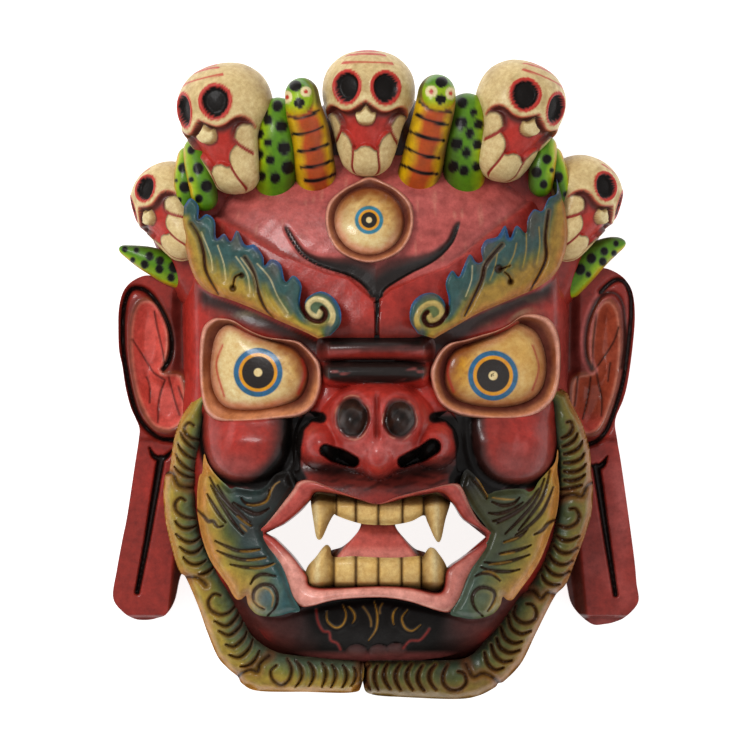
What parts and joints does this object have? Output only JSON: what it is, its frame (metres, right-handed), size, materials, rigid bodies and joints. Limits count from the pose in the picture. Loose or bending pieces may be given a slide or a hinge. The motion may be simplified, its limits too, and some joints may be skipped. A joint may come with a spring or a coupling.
{
  "type": "bhairab mask",
  "caption": "Carved and painted wooden mask of a wrathful three-eyed deity with a crown of skulls and snakes, fangs, a curled beard and long ear lobes; hollow behind, lying on its flat back.",
  "frame": {"origin": "middle of the flat back, at the centre of the object's box, on the surface that the mask lies on", "axes": "+X to the right across the face as a viewer sees it, +Y up to the crown of skulls, +Z out of the face"},
  "size_m": [0.3278, 0.4019, 0.1369],
  "materials": {
    "painted_wood": "carved hardwood, oil painted and varnished to a satin gloss"
  },
  "bodies": {
    "root": {"mask": "painted_wood"}
  },
  "joints": []
}
